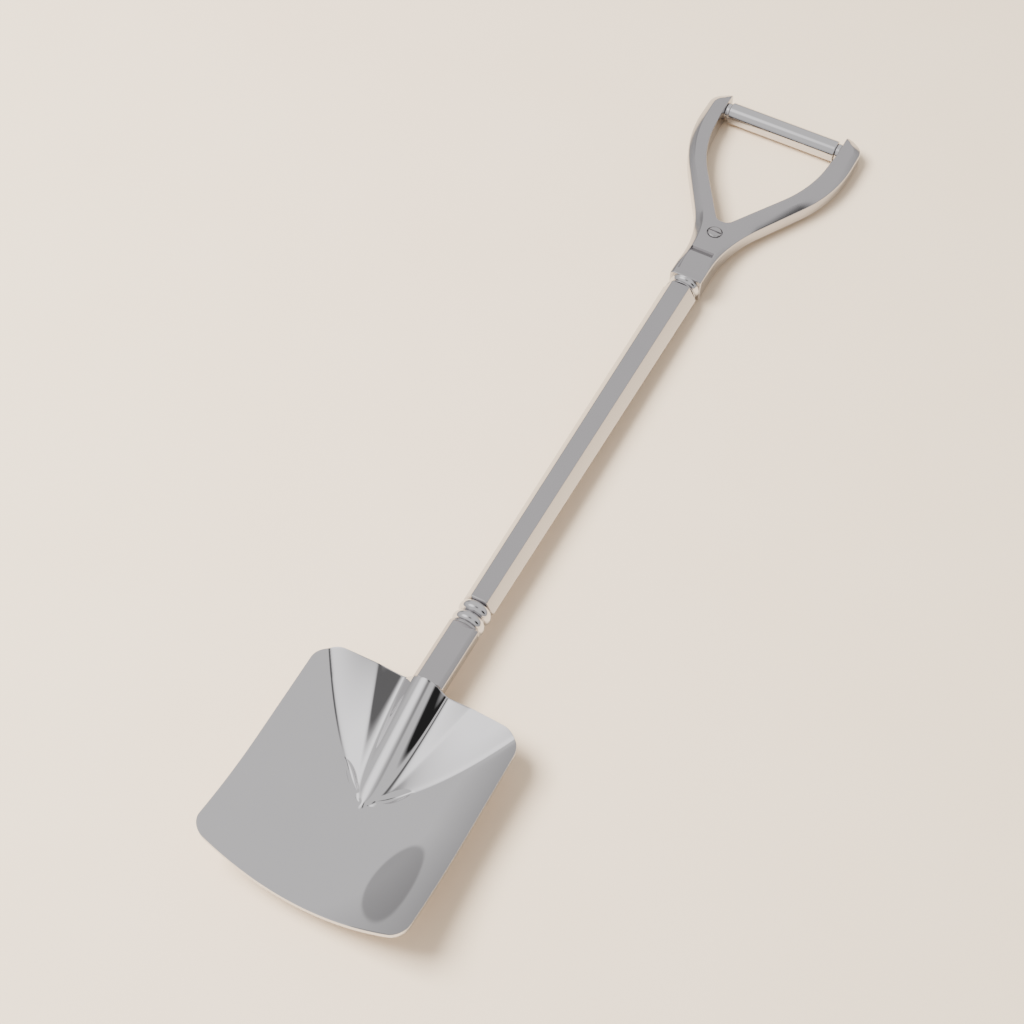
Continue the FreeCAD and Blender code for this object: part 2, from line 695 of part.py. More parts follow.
def make_welds(blade, neck):
    """Two fillet beads along the tongue, filling the corner under the frog on each side."""
    share = size("weld_length") / size("tongue_length")
    root_radius = size("tongue_root_radius")
    end_radius = root_radius + (size("tongue_tip_radius") - root_radius) * share
    beads = []
    for name, sign in (("left_bead", 1), ("right_bead", -1)):
        gap = size("weld_side_gap")
        start = tongue_centre(gap, root_radius) + Vector(0, sign * (root_radius + gap), 0)
        end = tongue_centre(size("weld_length"), end_radius) + Vector(0, sign * (end_radius + gap), 0)
        beads.append(cone_between(
            name, start, end, "Sizes.weld_radius", "Sizes.weld_radius * Sizes.weld_taper"))
    pair = doc.addObject("Part::MultiFuse", "weld_beads")
    pair.Shapes = beads
    around = doc.addObject("Part::MultiFuse", "weld_surroundings")
    around.Shapes = [blade, neck]
    welds = doc.addObject("Part::Cut", "frog_welds")
    welds.Base = pair
    welds.Tool = around
    return welds


# ---------------------------------------------------------------- assembly and export

blade = make_blade()
neck = make_neck_and_tongue()
PIECES = [
    blade,
    neck,
    make_welds(blade, neck),
    make_ring("bead_ring_lower", "Sizes.neck_length", "Stations.ring_joint"),
    make_ring("bead_ring_upper", "Stations.ring_joint", "Stations.shaft_start"),
    make_shaft(),
    make_shaft_collar(),
    make_yoke(),
    make_rivet(),
    make_grip_bar(),
    make_bar_collar("bar_collar_left", "1"),
    make_bar_collar("bar_collar_right", "-1"),
]
doc.recompute()

failed = [item.Name for item in doc.Objects if "Invalid" in item.State or "Error" in item.State]
for piece in PIECES:
    if piece.Shape.isNull() or not piece.Shape.isValid():
        failed.append(piece.Label)
if failed:
    raise RuntimeError("failed objects: " + ", ".join(failed))

os.makedirs("parts", exist_ok=True)
for piece in PIECES:
    piece.Shape.exportStep("parts/%s.step" % piece.Label)
    box = piece.Shape.BoundBox
    print("%-18s solids %d  volume %8.2f  x %7.2f..%7.2f  y %6.2f..%6.2f  z %5.2f..%5.2f" % (
        piece.Label, len(piece.Shape.Solids), piece.Shape.Volume,
        box.XMin, box.XMax, box.YMin, box.YMax, box.ZMin, box.ZMax))
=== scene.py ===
from math import atan2, ceil, cos, pi, radians, sin, sqrt, tan

import bmesh
import bpy
from mathutils import Matrix, Vector


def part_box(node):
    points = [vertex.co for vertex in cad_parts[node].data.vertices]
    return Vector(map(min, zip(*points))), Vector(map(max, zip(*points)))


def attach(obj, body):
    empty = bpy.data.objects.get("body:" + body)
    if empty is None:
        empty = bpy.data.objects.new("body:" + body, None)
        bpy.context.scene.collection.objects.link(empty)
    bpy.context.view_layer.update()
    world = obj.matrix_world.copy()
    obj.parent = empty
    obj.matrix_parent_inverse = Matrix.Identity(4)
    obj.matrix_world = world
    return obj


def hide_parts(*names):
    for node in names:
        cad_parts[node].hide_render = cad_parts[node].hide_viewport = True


# Miniature all-steel shovel lying on its back: pressed blade, frog, neck, bead rings,
# hexagonal shaft, forked yoke and round crossbar. Trees and outlines work in millimetres.
# The handle's pieces are drawn with its axis along X, from the neck's shoulder at X = 0.

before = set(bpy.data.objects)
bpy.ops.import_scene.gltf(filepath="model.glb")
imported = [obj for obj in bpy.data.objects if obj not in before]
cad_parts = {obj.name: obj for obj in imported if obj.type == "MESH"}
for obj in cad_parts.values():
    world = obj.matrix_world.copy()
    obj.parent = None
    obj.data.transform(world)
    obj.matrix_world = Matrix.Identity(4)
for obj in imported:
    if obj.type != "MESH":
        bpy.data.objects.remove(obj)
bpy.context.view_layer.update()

MM = 0.001


def box_mm(node):
    """A CAD node's lowest and highest corners in millimetres."""
    low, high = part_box(node)
    return low / MM, high / MM


# ---------------------------------------------------------------- sizes

# blade
blade_low, blade_high = box_mm("blade")
TIP_EDGE = blade_low.x
TOP_EDGE = blade_high.x
BLADE_LENGTH = TOP_EDGE - TIP_EDGE
HALF_WIDTH = blade_high.y
BOTTOM_BOW = 1.5
TOP_CORNER_RADIUS = 3.3
BOTTOM_CORNER_RADIUS = 2.0
TOP_SWEEP = 1.0
SHEET = 0.9
PAN_DEPTH = 5.6
TIP_LIFT = 3.8
TIP_FLATTENING = 1.0
SHOULDER_REACH = 16.9
CREASE_BOW = 0.43
CREASE_BLEND = 0.5
SHOULDER_START = 0.92
SHOULDER_GROWTH = 0.6
FOLD_START = 1.6
FOLD_SPREAD = 0.325
FOLD_BLEND = 0.2
VALLEY_SLOPE = 0.22
FROG_CROWN = 3.0
FROG_TIP_CROWN = 0.4
FROG_NOSE_LENGTH = 1.2
FROG_NARROWING = 0.35
FROG_BLEND = 0.5
SLOT_START = 1.2
SLOT_END = 5.2
SLOT_WIDTH = 0.85
SLOT_DEPTH = 0.3
RIM_ROUND = 0.2
FROG_FOOT = 1.1 * SHEET

# handle
TILT = radians(1.25)
ARM_THICKNESS = 3.8
NECK_LENGTH = 10.2
NECK_WIDTH = 4.4
NECK_HEIGHT = 3.4
NECK_CHAMFER = 0.7
NECK_ROUND = 0.25
NECK_LIP = 0.18
FLANGE_LENGTH = 0.45
FLANGE_RADIUS = 2.3
FLANGE_LIP = 0.1
FROG_COVER = 0.75
TONGUE_LENGTH = 14.0
TONGUE_ROOT = 1.5
TONGUE_TIP = 0.3
TONGUE_GAP = 0.05
TONGUE_LIP = 0.3
WELD_LENGTH = 8.0
WELD_RADIUS = 1.05
WELD_SIDE_GAP = 0.3
WELD_START_SCALE = 0.9
WELD_END_SCALE = 0.68
WELD_LIP = 0.4
WELD_RIPPLES = 14
WELD_RIPPLE_HEIGHT = 0.07
RING_LENGTH = 1.85
RING_RADIUS = 2.4
RING_ROUND = 0.88
RING_DEPTH = 1.9
SHAFT_LENGTH = 64.2
LOW_FLATS = 4.15
HIGH_FLATS = 4.87
SHAFT_ROUND = 0.3
SHAFT_LIP = 0.7
COLLAR_LENGTH = 1.5
COLLAR_RADIUS = 2.6
COLLAR_WAIST = 0.45
COLLAR_DEPTH = 1.2
COLLAR_CORNER = 0.2
SOCKET_WIDTH = 5.2
SOCKET_HEIGHT = 4.7
SOCKET_LENGTH = 3.0
TAPER_END = 14.0
YOKE_REACH = 38.4
ARM_END = 2.4
ARM_WIDTH = 3.2
ARM_FLARE = 0.8
GRIP_WIDTH = 26.8
LOW_BEND = 10.4
LOW_BEND_RADIUS = 22.0
HIGH_BEND = 28.6
HIGH_BEND_RADIUS = 24.0
INNER_SETBACK = 1.6
INNER_RADIUS = 22.0
CROTCH = 12.2
CROTCH_RADIUS = 1.6
GRIP_CORNER = 2.6
RIVET_PLACE = 10.8
RIVET_RECESS = 1.14
RIVET_RECESS_DEPTH = 0.25
RIVET_FLARE = 0.9
BAR_RADIUS = 1.75
BAR_COLLAR_LENGTH = 0.8
BAR_COLLAR_RADIUS = 1.45
BAR_COLLAR_DEPTH = 0.7
BAR_COLLAR_CORNER = 0.2
BAR_LIP = 0.12

# places along the handle's axis
RING_JOINT = NECK_LENGTH + RING_LENGTH
SHAFT_START = RING_JOINT + RING_LENGTH
SHAFT_END = SHAFT_START + SHAFT_LENGTH
YOKE_START = SHAFT_END + COLLAR_LENGTH
BAR_PLACE = YOKE_START + YOKE_REACH
HANDLE_END = BAR_PLACE + ARM_END
AXIS_HEIGHT = HANDLE_END * sin(TILT) + ARM_THICKNESS / 2 * cos(TILT)
FROG_TOP = AXIS_HEIGHT + NECK_HEIGHT / 2 + FROG_COVER
ARM_INNER = GRIP_WIDTH / 2 - ARM_WIDTH


# ---------------------------------------------------------------- node trees

class Wire:
    """One socket's output. Arithmetic on it adds Math nodes to its tree."""

    def __init__(self, bench, socket):
        self.bench = bench
        self.socket = socket

    def math(self, operation, *values):
        return self.bench.add("ShaderNodeMath", {"operation": operation}, dict(enumerate(values)))

    def __add__(self, other):
        return self.math("ADD", self, other)

    def __sub__(self, other):
        return self.math("SUBTRACT", self, other)

    def __mul__(self, other):
        return self.math("MULTIPLY", self, other)

    def __truediv__(self, other):
        return self.math("DIVIDE", self, other)

    def __pow__(self, other):
        return self.math("POWER", self, other)

    def __radd__(self, other):
        return self.math("ADD", other, self)

    def __rsub__(self, other):
        return self.math("SUBTRACT", other, self)

    def __rmul__(self, other):
        return self.math("MULTIPLY", other, self)

    def __rtruediv__(self, other):
        return self.math("DIVIDE", other, self)

    def __neg__(self):
        return self.math("MULTIPLY", self, -1.0)

    def __abs__(self):
        return self.math("ABSOLUTE", self)

    def root(self):
        return self.math("SQRT", self)

    def sine(self):
        return self.math("SINE", self)

    def cosine(self):
        return self.math("COSINE", self)

    def sign(self):
        return self.math("SIGN", self)

    def at_least(self, other):
        return self.math("MAXIMUM", self, other)

    def at_most(self, other):
        return self.math("MINIMUM", self, other)


class Bench:
    """Adds nodes to one tree: a node's settings first, then its values and links."""

    def __init__(self, tree):
        self.tree = tree

    def add(self, kind, settings=None, inputs=None, output=0):
        node = self.tree.nodes.new(kind)
        for name, value in (settings or {}).items():
            setattr(node, name, value)
        for name, value in (inputs or {}).items():
            for item in value if isinstance(value, list) else [value]:
                if isinstance(item, Wire):
                    self.tree.links.new(item.socket, node.inputs[name])
                else:
                    node.inputs[name].default_value = item
        return Wire(self, node.outputs[output]) if node.outputs else node

    def vector(self, x, y, z):
        return self.add("ShaderNodeCombineXYZ", None, {0: x, 1: y, 2: z})

    def parts(self, vector):
        """The X, Y and Z wires of a vector."""
        first = self.add("ShaderNodeSeparateXYZ", None, {0: vector})
        return [Wire(self, socket) for socket in first.socket.node.outputs]


# ---------------------------------------------------------------- finishes

CLOUD_SCALE = 90.0
RIPPLE_SCALE = 260.0


def new_finish(name):
    """A material's bench, its shader and the piece's own coordinates."""
    finish = bpy.data.materials.new(name)
    finish.use_nodes = True
    bench = Bench(finish.node_tree)
    shader = finish.node_tree.nodes["Principled BSDF"]
    place = bench.add("ShaderNodeTexCoord", output="Object")
    return finish, bench, shader, place


def stretched(bench, place, scale):
    return bench.add("ShaderNodeMapping", None, {"Vector": place, "Scale": scale})


def noise(bench, place, scale, detail):
    return bench.add("ShaderNodeTexNoise", None, {"Vector": place, "Scale": scale, "Detail": detail})


def plug(bench, shader, name, wire):
    bench.tree.links.new(wire.socket, shader.inputs[name])


def bump(bench, depth, height, **below):
    """A surface raised by up to the depth in millimetres, over the one below it, if any."""
    return bench.add("ShaderNodeBump", None, {
        "Strength": 1.0, "Distance": depth * MM, "Height": height, **below})


def steel(name, colour, shade, gloss, haze, grain, grain_depth, ripple_depth):
    """Bare stainless steel.

    colour and shade are its two mixed tones, gloss the roughness and haze how much it varies.
    grain is the stretch of the polishing lines and grain_depth their depth, and ripple_depth
    is the slow waviness that hand polishing leaves. Depths are in millimetres.
    """
    finish, bench, shader, place = new_finish(name)
    shader.inputs["Metallic"].default_value = 1.0
    cloud = noise(bench, place, CLOUD_SCALE, 3.0)
    lines = noise(bench, stretched(bench, place, grain), 1.0, 4.0)
    tint = bench.add("ShaderNodeMix", {"data_type": "RGBA"}, {0: cloud, 6: (*colour, 1), 7: (*shade, 1)}, 2)
    plug(bench, shader, "Base Color", tint)
    plug(bench, shader, "Roughness", gloss + (cloud - 0.5) * haze + (lines - 0.5) * haze)
    coarse = bump(bench, ripple_depth, noise(bench, place, RIPPLE_SCALE, 1.0))
    plug(bench, shader, "Normal", bump(bench, grain_depth, lines, Normal=coarse))
    return finish


mirror_steel = steel("mirror_steel", colour=(0.66, 0.65, 0.655), shade=(0.62, 0.612, 0.62),
                     gloss=0.045, haze=0.02, grain=(900, 900, 900), grain_depth=0.0003,
                     ripple_depth=0.004)
satin_steel = steel("satin_steel", colour=(0.52, 0.505, 0.51), shade=(0.47, 0.458, 0.465),
                    gloss=0.14, haze=0.06, grain=(60, 2500, 2500), grain_depth=0.0008,
                    ripple_depth=0.004)
weld_steel = steel("weld_steel", colour=(0.48, 0.46, 0.44), shade=(0.36, 0.33, 0.32),
                   gloss=0.32, haze=0.2, grain=(1400, 1400, 1400), grain_depth=0.02,
                   ripple_depth=0.02)


# ---------------------------------------------------------------- geometry trees

def new_tree(name, sizes):
    """A geometry tree with one named number input for each size."""
    tree = bpy.data.node_groups.new(name, "GeometryNodeTree")
    for label in sizes:
        tree.interface.new_socket(label, in_out="INPUT", socket_type="NodeSocketFloat")
    tree.interface.new_socket("Geometry", in_out="OUTPUT", socket_type="NodeSocketGeometry")
    bench = Bench(tree)
    entry = tree.nodes.new("NodeGroupInput")
    return bench, [Wire(bench, entry.outputs[label]) for label in sizes]


def close_tree(bench, shape, finish, on_handle=True):
    """Moves the shape to its place in metres, and ends the tree."""
    place = {"Geometry": shape, "Scale": (MM, MM, MM)}
    if on_handle:
        place["Rotation"] = (0, TILT, 0)
        place["Translation"] = (TOP_EDGE * MM, 0, AXIS_HEIGHT * MM)
    shape = bench.add("GeometryNodeTransform", None, place)
    shape = bench.add("GeometryNodeSetShadeSmooth", None, {"Geometry": shape})
    shape = bench.add("GeometryNodeRealizeInstances", None, {"Geometry": shape})
    shape = bench.add("GeometryNodeSetMaterial", None, {"Geometry": shape, "Material": finish})
    bench.add("NodeGroupOutput", None, {0: shape})
    return bench.tree


def link(name, mesh):
    piece = bpy.data.objects.new(name, mesh)
    bpy.context.scene.collection.objects.link(piece)
    return piece


def bake(piece):
    """The piece's mesh with its modifiers carried out, on a new piece of the same name."""
    name = piece.name
    ready = piece.evaluated_get(bpy.context.evaluated_depsgraph_get())
    mesh = bpy.data.meshes.new_from_object(ready)
    bpy.data.objects.remove(piece)
    return link(name, mesh)


def grow(name, tree, sizes):
    """Runs a tree with these sizes, and keeps its result as a plain mesh."""
    piece = link(name, bpy.data.meshes.new(name))
    modifier = piece.modifiers.new("shape", "NODES")
    modifier.node_group = tree
    inputs = [item for item in tree.interface.items_tree if item.in_out == "INPUT"]
    for item, value in zip(inputs, sizes):
        modifier[item.identifier] = float(value)
    return bake(piece)


MERGE_DISTANCE = 0.002


def tidy_normals(piece):
    """Merges doubled points and turns every face outwards."""
    shape = bmesh.new()
    shape.from_mesh(piece.data)
    bmesh.ops.remove_doubles(shape, verts=shape.verts, dist=MERGE_DISTANCE * MM)
    bmesh.ops.recalc_face_normals(shape, faces=shape.faces)
    shape.to_mesh(piece.data)
    shape.free()


def smooth_by_angle(piece, degrees):
    for face in piece.data.polygons:
        face.use_smooth = True
    piece.data.set_sharp_from_angle(angle=radians(degrees))


def fit(piece, slot, *nodes):
    """The finished piece stands for its CAD nodes on the shovel's one body."""
    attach(piece, "root")
    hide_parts(*nodes)


# ---------------------------------------------------------------- blade

BLADE_ROWS = 200
BLADE_COLUMNS = 201
CORNER_SHARE = 0.16
FROG_CROWDING = 1.5
ROW_CROWDING = 0.06
CROWDED_PLACE = 0.56
BLADE_MERGE_DISTANCE = 0.004

# how softly the crease and the folds turn at the blade's middle
CREASE_TURN = 0.25 * CREASE_BLEND
FOLD_TURN = 0.01

# keeps a slot's width above zero at its ends
SLOT_LEAST_LENS = 0.05


def soft_positive(amount, blend):
    """max(amount, 0) with its corner rounded over the blend length."""
    return (amount + (amount * amount + blend * blend).root()) / 2


def blade_surface(x, y, length, half, depth, lift, reach, frog_top):
    """Height of the pressed sheet's top: dished pan, shoulders, crease slots and frog."""
    across = y / half
    share = ((TOP_EDGE - reach - x).at_least(0.0) / (length - reach)) ** 2
    pan = SHEET + lift * share + (depth - TIP_FLATTENING * share) * across * across
    spread = (y * y + CREASE_TURN).root() / half
    crease = TOP_EDGE - reach * (1 - (1 - CREASE_BOW) * spread - CREASE_BOW * spread * spread)
    slope = depth / reach * (SHOULDER_START + SHOULDER_GROWTH * across * across)
    shoulder = pan + slope * soft_positive(x - crease, CREASE_BLEND)
    aside = (y * y + FOLD_TURN).root()
    fold = FOLD_START + FOLD_SPREAD * (x - TOP_EDGE + reach)
    shoulder = shoulder - VALLEY_SLOPE * soft_positive(fold - aside, FOLD_BLEND)
    spot = (aside - SLOT_START) / (SLOT_END - SLOT_START)
    lens = (4 * spot * (1 - spot)).at_least(0.0)
    slot = (1 - ((x - crease) / (SLOT_WIDTH * (lens + SLOT_LEAST_LENS))) ** 2).at_least(0.0)
    shoulder = shoulder - SLOT_DEPTH * lens * slot
    along = (x - TOP_EDGE) / reach + 1
    run = (along * reach).at_least(0.0)
    crown = FROG_TIP_CROWN + FROG_CROWN * run / (run + FROG_NOSE_LENGTH) * (1 - FROG_NARROWING * run / reach)
    frog = FROG_FOOT + (frog_top - FROG_FOOT) * along - y * y / (crown * 2)
    return shoulder + soft_positive(frog - shoulder, FROG_BLEND)


def blade_tree():
    """A fine grid drawn out to the blade's plan, lifted to the pressed form and closed below.

    The rim's offset is a wired vector, because a typed one isn't used.
    """
    bench, sizes = new_tree("pressed_blade", ["Length", "Half Width", "Pan Depth", "Tip Lift",
                                              "Shoulder Reach", "Frog Top"])
    length, half, depth, lift, reach, frog_top = sizes
    grid = bench.add("GeometryNodeMeshGrid", None, {
        "Size X": 2.0, "Size Y": 2.0, "Vertices X": BLADE_ROWS, "Vertices Y": BLADE_COLUMNS})
    along, across, _ = bench.parts(bench.add("GeometryNodeInputPosition"))
    run = (abs(across) / (1 - CORNER_SHARE)).at_most(1.0) ** FROG_CROWDING
    turn = ((abs(across) - (1 - CORNER_SHARE)) / CORNER_SHARE).at_least(0.0) * (pi / 2)
    y = across.sign() * ((half - TOP_CORNER_RADIUS) * run + TOP_CORNER_RADIUS * turn.sine())
    low_gap = (abs(y) - half + BOTTOM_CORNER_RADIUS).at_least(0.0)
    low_corner = BOTTOM_CORNER_RADIUS - (BOTTOM_CORNER_RADIUS ** 2 - low_gap * low_gap).at_least(0.0).root()
    low = TOP_EDGE - length + BOTTOM_BOW * (y / half) ** 2 + low_corner
    high = TOP_EDGE - TOP_SWEEP * abs(y) / half - TOP_CORNER_RADIUS * (1 - turn.cosine())
    share = (along + 1) / 2
    share = share - ROW_CROWDING * ((2 * pi * (share - CROWDED_PLACE)).sine() + sin(2 * pi * CROWDED_PLACE))
    x = low + (high - low) * share
    top = blade_surface(x, y, length, half, depth, lift, reach, frog_top)
    upper = bench.add("GeometryNodeSetPosition", None, {
        "Geometry": grid, "Position": bench.vector(x, y, top)})
    lower = bench.add("GeometryNodeTransform", None, {"Geometry": upper, "Translation": (0, 0, -SHEET)})
    flat_x, flat_y, flat_z = bench.parts(bench.add("GeometryNodeInputPosition"))
    resting = bench.vector(flat_x, flat_y, flat_z.at_least(0.0))
    lower = bench.add("GeometryNodeSetPosition", None, {"Geometry": lower, "Position": resting})
    lower = bench.add("GeometryNodeFlipFaces", None, {"Mesh": lower})
    faces_beside = bench.add("GeometryNodeInputMeshEdgeNeighbors")
    outline = bench.add("FunctionNodeCompare", {"data_type": "INT", "operation": "EQUAL"},
                        {2: faces_beside, 3: 1})
    rim = bench.add("GeometryNodeExtrudeMesh", {"mode": "EDGES"}, {
        "Mesh": upper, "Selection": outline, "Offset": bench.vector(0, 0, -1), "Offset Scale": SHEET})
    both = bench.add("GeometryNodeJoinGeometry", None, {"Geometry": [rim, lower]})
    closed = bench.add("GeometryNodeMergeByDistance", None, {
        "Geometry": both, "Distance": BLADE_MERGE_DISTANCE})
    return close_tree(bench, closed, mirror_steel, on_handle=False)


def make_blade():
    """Pressed square-point blade with its rim rounded over."""
    blade = grow("pressed_blade", blade_tree(), [
        BLADE_LENGTH, HALF_WIDTH, PAN_DEPTH, TIP_LIFT, SHOULDER_REACH, FROG_TOP])
    tidy_normals(blade)
    rounding = blade.modifiers.new("rim", "BEVEL")
    rounding.width = RIM_ROUND * MM
    rounding.segments = 3
    rounding.limit_method = "ANGLE"
    rounding.angle_limit = radians(50)
    blade = bake(blade)
    smooth_by_angle(blade, 60)
    fit(blade, "polished_steel", "blade")


# ---------------------------------------------------------------- rods and turned rings

def rod(bench, start, end, section, start_scale, end_scale, lip, count=120, ripple=None):
    """A section carried from start to end, with rounded-over ends and closed caps.

    The rounding starts the lip's length from each end and takes the lip's share off the section.
    ripple is the number of ripples and their height as a share of the section.
    """
    line = bench.add("GeometryNodeCurvePrimitiveLine", None, {"Start": start, "End": end})
    line = bench.add("GeometryNodeResampleCurve", None, {"Curve": line, "Count": count})
    share = bench.add("GeometryNodeSplineParameter", output="Factor")
    eased = (1 - (share * pi).cosine()) / 2
    middle = bench.add("ShaderNodeMix", {"data_type": "VECTOR"}, {0: eased, 4: start, 5: end}, 1)
    line = bench.add("GeometryNodeSetPosition", None, {"Geometry": line, "Position": middle})
    span = bench.add("GeometryNodeCurveLength", None, {"Curve": line})
    share = bench.add("GeometryNodeSplineParameter", output="Factor")
    to_end = (share.at_most(1 - share) * span / lip).at_most(1.0)
    rounded = 1 - lip * (1 - (1 - (1 - to_end) ** 2).at_least(0.0).root())
    scale = (start_scale + (end_scale - start_scale) * share) * rounded
    if ripple:
        ripples, height = ripple
        scale = scale * (1 + height * abs((share * (pi * ripples)).sine()))
    return bench.add("GeometryNodeCurveToMesh", None, {
        "Curve": line, "Profile Curve": section, "Scale": scale, "Fill Caps": True})


def round_section(bench, radius, count=64):
    return bench.add("GeometryNodeCurvePrimitiveCircle", None, {"Resolution": count, "Radius": radius})


def fillet(bench, section, radius, count):
    return bench.add("GeometryNodeFilletCurve", {"mode": "POLY"}, {
        "Curve": section, "Radius": radius, "Count": count, "Limit Radius": True})


def ring_tree(name, finish, along_x=True):
    """A turned ring: a rounded section carried round a circle, drawn in at its waist."""
    bench, (place, length, radius, depth, corner, waist) = new_tree(
        name, ["Place", "Length", "Radius", "Depth", "Corner", "Waist"])
    section = bench.add("GeometryNodeCurvePrimitiveQuadrilateral", None, {"Width": depth, "Height": length})
    section = fillet(bench, section, corner, 10)
    section = bench.add("GeometryNodeResampleCurve", None, {"Curve": section, "Count": 72})
    circle = round_section(bench, radius - depth / 2, 96)
    ring = bench.add("GeometryNodeCurveToMesh", None, {"Curve": circle, "Profile Curve": section})
    x, y, z = bench.parts(bench.add("GeometryNodeInputPosition"))
    out = (x * x + y * y).root()
    pinch = 1 - waist * (1 - (z * 2 / length) ** 2).at_least(0.0) / out
    if along_x:
        spot = bench.vector(place + z, y * pinch, x * pinch)
    else:
        spot = bench.vector(BAR_PLACE + x * pinch, place + z, y * pinch)
    ring = bench.add("GeometryNodeSetPosition", None, {"Geometry": ring, "Position": spot})
    return close_tree(bench, ring, finish)


def turned(name, node, tree, place, length, radius, depth, corner, waist=0.0):
    ring = grow(name, tree, [place, length, radius, depth, corner, waist])
    tidy_normals(ring)
    smooth_by_angle(ring, 60)
    fit(ring, "polished_steel", node)


def make_rings():
    """Two bead rings, the grooved collar and the crossbar's two end collars."""
    axial = ring_tree("turned_ring", mirror_steel)
    turned("lower_bead", "bead_ring_lower", axial, NECK_LENGTH + RING_LENGTH / 2,
           RING_LENGTH, RING_RADIUS, RING_DEPTH, RING_ROUND)
    turned("upper_bead", "bead_ring_upper", axial, RING_JOINT + RING_LENGTH / 2,
           RING_LENGTH, RING_RADIUS, RING_DEPTH, RING_ROUND)
    turned("grooved_collar", "shaft_collar", axial, SHAFT_END + COLLAR_LENGTH / 2,
           COLLAR_LENGTH, COLLAR_RADIUS, COLLAR_DEPTH, COLLAR_CORNER, COLLAR_WAIST)
    crosswise = ring_tree("crosswise_ring", mirror_steel, along_x=False)
    side = ARM_INNER - BAR_COLLAR_LENGTH / 2
    turned("left_bar_collar", "bar_collar_left", crosswise, side,
           BAR_COLLAR_LENGTH, BAR_COLLAR_RADIUS, BAR_COLLAR_DEPTH, BAR_COLLAR_CORNER)
    turned("right_bar_collar", "bar_collar_right", crosswise, -side,
           BAR_COLLAR_LENGTH, BAR_COLLAR_RADIUS, BAR_COLLAR_DEPTH, BAR_COLLAR_CORNER)


def make_shaft():
    """Tapered hexagonal bar with its edges broken and a rounded lip at each end."""
    bench, (start, end, low, high, edge, lip) = new_tree(
        "hexagonal_shaft", ["Start", "End", "Low Flats", "High Flats", "Edge Round", "Lip"])
    corner_share = 1 / sqrt(3)
    hexagon = round_section(bench, low * corner_share, 6)
    hexagon = fillet(bench, hexagon, edge, 5)
    bar = rod(bench, bench.vector(start, 0, 0), bench.vector(end, 0, 0), hexagon, 1.0, high / low,
              lip / (low * corner_share))
    shaft = grow("hexagonal_shaft", close_tree(bench, bar, satin_steel), [
        SHAFT_START, SHAFT_END, LOW_FLATS, HIGH_FLATS, SHAFT_ROUND, SHAFT_LIP])
    tidy_normals(shaft)
    smooth_by_angle(shaft, 40)
    fit(shaft, "satin_steel", "shaft")


def tongue_centre(along, radius):
    """Centre of the tongue under the frog, this far from the blade's top edge."""
    slope = (FROG_TOP - FROG_FOOT) / SHOULDER_REACH
    ridge = FROG_TOP - slope * along
    below = SHEET + TONGUE_GAP + radius * sqrt(1 + slope * slope)
    return Vector((TOP_EDGE - along, 0, ridge - below))


def to_handle(point):
    """A point of the shovel's frame on the handle's own axes."""
    x = point.x - TOP_EDGE
    z = point.z - AXIS_HEIGHT
    return Vector((x * cos(TILT) - z * sin(TILT), point.y, x * sin(TILT) + z * cos(TILT)))


def make_neck():
    """Chamfered neck with a flange at its top, and the round tongue that runs down under the frog."""
    bench, (width, height, chamfer, edge, length) = new_tree(
        "neck", ["Width", "Height", "Chamfer", "Edge Round", "Length"])
    section = bench.add("GeometryNodeCurvePrimitiveQuadrilateral", None, {"Width": width, "Height": height})
    section = fillet(bench, section, chamfer, 1)
    section = fillet(bench, section, edge, 4)
    bar = rod(bench, bench.vector(0, 0, 0), bench.vector(length, 0, 0), section, 1.0, 1.0, NECK_LIP)
    flange = rod(bench, bench.vector(length - FLANGE_LENGTH, 0, 0), bench.vector(length, 0, 0),
                 round_section(bench, FLANGE_RADIUS), 1.0, 1.0, FLANGE_LIP, 24)
    root = to_handle(tongue_centre(-FLANGE_LENGTH, TONGUE_ROOT))
    tip = to_handle(tongue_centre(TONGUE_LENGTH, TONGUE_TIP))
    tongue = rod(bench, bench.vector(*root), bench.vector(*tip), round_section(bench, TONGUE_ROOT),
                 1.0, TONGUE_TIP / TONGUE_ROOT, TONGUE_LIP)
    whole = bench.add("GeometryNodeJoinGeometry", None, {"Geometry": [bar, flange, tongue]})
    neck = grow("chamfered_neck", close_tree(bench, whole, satin_steel),
                [NECK_WIDTH, NECK_HEIGHT, NECK_CHAMFER, NECK_ROUND, NECK_LENGTH])
    tidy_normals(neck)
    smooth_by_angle(neck, 40)
    fit(neck, "satin_steel", "neck")


def make_welds():
    """Rippled fillet bead along each side of the tongue, under the frog."""
    bench, (radius, ripples) = new_tree("weld_beads", ["Radius", "Ripples"])
    share = WELD_LENGTH / TONGUE_LENGTH
    end_radius = TONGUE_ROOT + (TONGUE_TIP - TONGUE_ROOT) * share
    beads = []
    for side in (1, -1):
        start = tongue_centre(WELD_SIDE_GAP, TONGUE_ROOT)
        start.y = side * (TONGUE_ROOT + WELD_SIDE_GAP)
        end = tongue_centre(WELD_LENGTH, end_radius)
        end.y = side * (end_radius + WELD_SIDE_GAP)
        beads.append(rod(bench, bench.vector(*to_handle(start)), bench.vector(*to_handle(end)),
                         round_section(bench, radius, 32), WELD_START_SCALE, WELD_END_SCALE,
                         WELD_LIP, 240, (ripples, WELD_RIPPLE_HEIGHT)))
    pair = bench.add("GeometryNodeJoinGeometry", None, {"Geometry": beads})
    welds = grow("frog_weld_beads", close_tree(bench, pair, weld_steel), [WELD_RADIUS, WELD_RIPPLES])
    tidy_normals(welds)
    smooth_by_angle(welds, 60)
    fit(welds, "weld_steel", "frog_welds")


